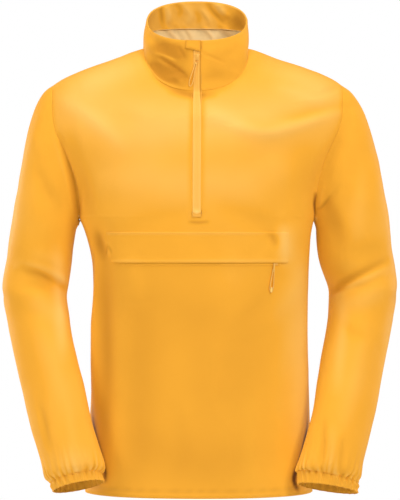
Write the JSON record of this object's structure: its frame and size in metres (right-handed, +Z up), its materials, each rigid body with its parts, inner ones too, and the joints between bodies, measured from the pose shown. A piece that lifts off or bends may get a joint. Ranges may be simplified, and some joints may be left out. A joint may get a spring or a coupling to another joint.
{
  "type": "anorak pullover",
  "caption": "Half-zip pullover anorak in light cloth, worn shape with nobody in it, with stand collar, elastic cuffs and a flapped front pocket.",
  "frame": {"origin": "on the line between the two high points of the shoulders, where the neck comes out", "axes": "+Z up along the body, +X towards the wearer's left, front facing -Y"},
  "size_m": [0.634, 0.2688, 0.7887],
  "materials": {
    "shell_cloth": "fine plain weave, soft sheen",
    "zip_tape": "smooth coated tape",
    "slider_paint": "satin",
    "pull_cord": "smooth round cord"
  },
  "bodies": {
    "root": {"front": "shell_cloth", "back": "shell_cloth", "sleeve_right": "shell_cloth", "sleeve_left": "shell_cloth", "cuff_right": "shell_cloth", "cuff_left": "shell_cloth", "collar": "shell_cloth", "collar_facing": "shell_cloth", "zip_garage": "shell_cloth", "pocket_flap": "shell_cloth", "zip_strip": "zip_tape", "pocket_zip": "zip_tape", "zip_slider": "slider_paint", "pocket_slider": "slider_paint", "zip_pull": "pull_cord", "pocket_pull": "pull_cord"}
  },
  "joints": []
}
